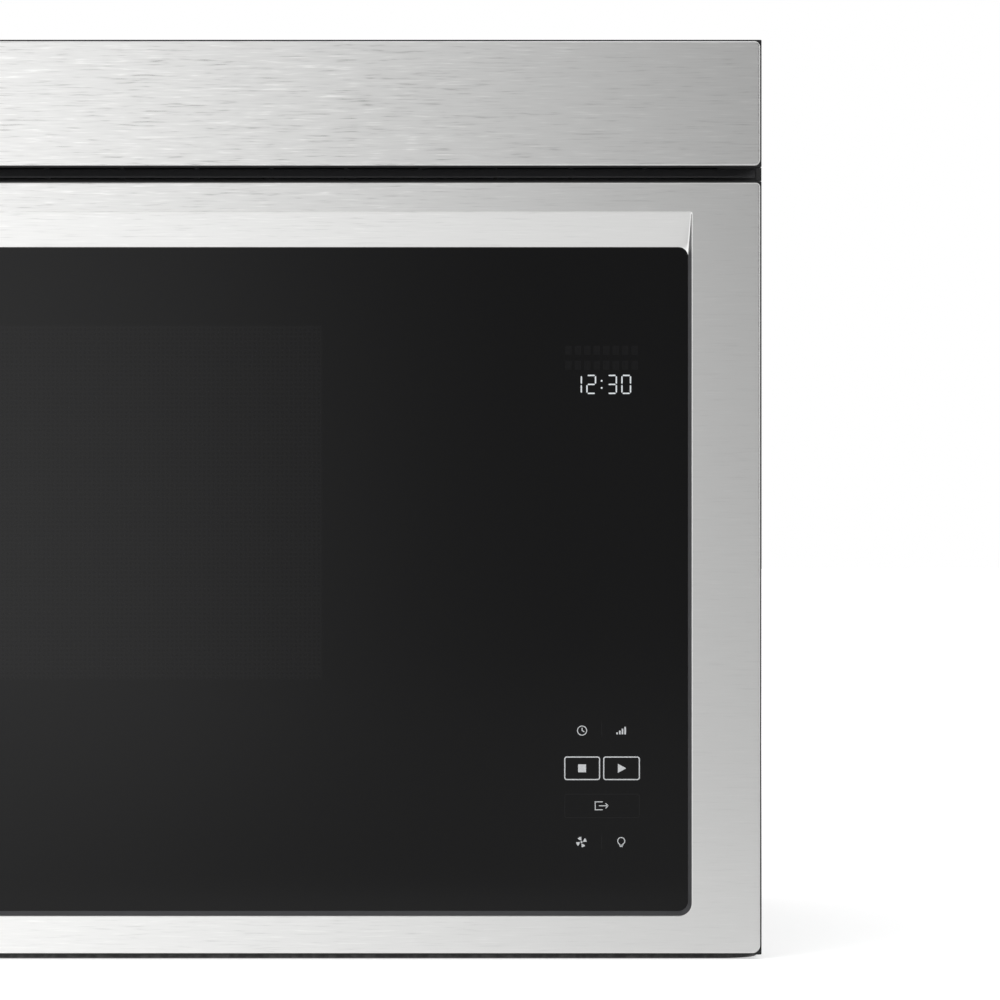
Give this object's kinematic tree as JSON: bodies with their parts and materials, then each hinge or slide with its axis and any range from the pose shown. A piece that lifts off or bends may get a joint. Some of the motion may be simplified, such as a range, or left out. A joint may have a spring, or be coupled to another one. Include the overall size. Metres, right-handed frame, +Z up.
{
  "type": "over the range microwave",
  "caption": "Wall-hung microwave oven with a stainless framed black glass door, a vent above it, a turntable and a range hood blower.",
  "frame": {"origin": "centre of the bottom face of the bounding box", "axes": "+Z up, -Y out of the door, +X to the right as seen from the front"},
  "size_m": [0.759, 0.406, 0.44],
  "materials": {
    "stainless": "horizontal brushed",
    "case_paint": "satin",
    "black_paint": "satin",
    "zinc_steel": "zinc coated",
    "cavity_paint": "enamel",
    "black_plastic": "fine grain",
    "white_plastic": "plain",
    "dark_glass": "polished",
    "clear_glass": "polished",
    "lamp_glass": "frosted",
    "aluminium": "mill",
    "iron_core": "varnished",
    "mica": "matt",
    "rubber": "matt",
    "circuit_board": "lacquered",
    "carbon": "rough"
  },
  "bodies": {
    "cabinet": {"outer_wrap": "case_paint", "base_pan": "case_paint", "rear_panel": "zinc_steel", "front_plate": "black_paint", "bay_floor": "zinc_steel", "cord_bushing": "rubber", "top_fascia": "stainless", "vent_grille": "black_plastic", "charcoal_filter": "carbon", "cavity_box": "cavity_paint", "waveguide": "zinc_steel", "waveguide_cover": "mica", "magnetron": "aluminium", "hv_transformer": "iron_core", "hv_capacitor": "aluminium", "cooling_fan_housing": "zinc_steel", "cooling_fan_motor": "iron_core", "cavity_lamp_bracket": "zinc_steel", "cavity_lamp": "lamp_glass", "power_board": "circuit_board", "turntable_motor": "iron_core", "blower_housing": "zinc_steel", "blower_motor": "iron_core", "cooktop_lamp_left": "white_plastic", "cooktop_lamp_right": "white_plastic", "latch_board": "white_plastic", "primary_switch": "black_plastic", "monitor_switch": "black_plastic", "secondary_switch": "black_plastic", "release_actuator": "iron_core", "hinge_lower": "zinc_steel", "hinge_upper": "zinc_steel"},
    "door": {"door_outer_frame": "stainless", "door_glass": "dark_glass", "door_inner_frame": "black_paint", "door_choke": "zinc_steel", "choke_cover": "black_plastic", "window_screen": "black_paint", "inner_window": "clear_glass", "door_control_board": "circuit_board", "display_module": "black_plastic"},
    "latch": {"latch_key": "white_plastic"},
    "turntable": {"turntable_coupler": "white_plastic", "turntable_tray": "clear_glass"},
    "ring": {"roller_ring": "black_plastic"},
    "wheel_1": {"roller_wheel_1": "white_plastic"},
    "wheel_2": {"roller_wheel_2": "white_plastic"},
    "wheel_3": {"roller_wheel_3": "white_plastic"},
    "blower": {"blower_shaft": "zinc_steel", "blower_wheel_left": "zinc_steel", "blower_wheel_right": "zinc_steel"},
    "cooling_fan": {"cooling_fan_blade": "white_plastic"},
    "filter_left": {"grease_filter_left": "aluminium"},
    "filter_right": {"grease_filter_right": "aluminium"},
    "cover_left": {"lamp_cover_left": "lamp_glass"},
    "cover_right": {"lamp_cover_right": "lamp_glass"},
    "primary_plunger": {"primary_switch_plunger": "white_plastic"},
    "monitor_plunger": {"monitor_switch_plunger": "white_plastic"},
    "secondary_plunger": {"secondary_switch_plunger": "white_plastic"},
    "release": {"release_plunger": "zinc_steel"}
  },
  "joints": [
    {"name": "door_swing", "type": "hinge", "parent": "cabinet", "child": "door", "pos_m": [-0.3705, -0.191, 0.187], "axis": [0, 0, -1], "range_deg": [0, 100]},
    {"name": "latch_slide", "type": "slide", "parent": "door", "child": "latch", "axis": [0, 0, 1], "range_m": [-0.004, 0]},
    {"name": "turntable_spin", "type": "hinge", "parent": "cabinet", "child": "turntable", "pos_m": [-0.045, -0.0252, 0.12], "axis": [0, 0, 1], "continuous": true},
    {"name": "ring_spin", "type": "hinge", "parent": "cabinet", "child": "ring", "pos_m": [-0.045, -0.0252, 0.1188], "axis": [0, 0, 1], "continuous": true},
    {"name": "wheel_1_spin", "type": "hinge", "parent": "ring", "child": "wheel_1", "pos_m": [0.059, -0.0252, 0.1188], "axis": [1, 0, 0], "continuous": true},
    {"name": "wheel_2_spin", "type": "hinge", "parent": "ring", "child": "wheel_2", "pos_m": [-0.097, 0.06487, 0.1188], "axis": [-0.5, 0.866, 0], "continuous": true},
    {"name": "wheel_3_spin", "type": "hinge", "parent": "ring", "child": "wheel_3", "pos_m": [-0.097, -0.11526, 0.1188], "axis": [-0.5, -0.866, 0], "continuous": true},
    {"name": "blower_spin", "type": "hinge", "parent": "cabinet", "child": "blower", "pos_m": [0, 0.118, 0.3802], "axis": [1, 0, 0], "continuous": true},
    {"name": "cooling_fan_spin", "type": "hinge", "parent": "cabinet", "child": "cooling_fan", "pos_m": [0.2775, 0.1528, 0.262], "axis": [0, 1, 0], "continuous": true},
    {"name": "filter_left_drop", "type": "hinge", "parent": "cabinet", "child": "filter_left", "pos_m": [-0.158, 0.104, 0.0006], "axis": [1, 0, 0], "range_deg": [0, 50]},
    {"name": "filter_right_drop", "type": "hinge", "parent": "cabinet", "child": "filter_right", "pos_m": [0.158, 0.104, 0.0006], "axis": [1, 0, 0], "range_deg": [0, 50]},
    {"name": "cover_left_drop", "type": "hinge", "parent": "cabinet", "child": "cover_left", "pos_m": [-0.158, -0.0835, 0.0005], "axis": [1, 0, 0], "range_deg": [0, 80]},
    {"name": "cover_right_drop", "type": "hinge", "parent": "cabinet", "child": "cover_right", "pos_m": [0.158, -0.0835, 0.0005], "axis": [1, 0, 0], "range_deg": [0, 80]},
    {"name": "primary_plunger_slide", "type": "slide", "parent": "cabinet", "child": "primary_plunger", "axis": [0, 0, 1], "range_m": [-0.0012, 0]},
    {"name": "monitor_plunger_slide", "type": "slide", "parent": "cabinet", "child": "monitor_plunger", "axis": [0, 0, 1], "range_m": [-0.0012, 0]},
    {"name": "secondary_plunger_slide", "type": "slide", "parent": "cabinet", "child": "secondary_plunger", "axis": [0, 0, 1], "range_m": [-0.0012, 0]},
    {"name": "release_slide", "type": "slide", "parent": "cabinet", "child": "release", "axis": [0, 0, 1], "range_m": [-0.004, 0]}
  ],
  "couplings": [
    {"joint": "ring_spin", "follows": "turntable_spin", "ratio": 0.5},
    {"joint": "wheel_1_spin", "follows": "turntable_spin", "ratio": -6.9333},
    {"joint": "wheel_2_spin", "follows": "turntable_spin", "ratio": -6.9333},
    {"joint": "wheel_3_spin", "follows": "turntable_spin", "ratio": -6.9333},
    {"joint": "primary_plunger_slide", "follows": "latch_slide", "ratio": 0.3},
    {"joint": "monitor_plunger_slide", "follows": "latch_slide", "ratio": 0.3},
    {"joint": "secondary_plunger_slide", "follows": "latch_slide", "ratio": 0.3},
    {"joint": "release_slide", "follows": "latch_slide", "ratio": 1}
  ]
}
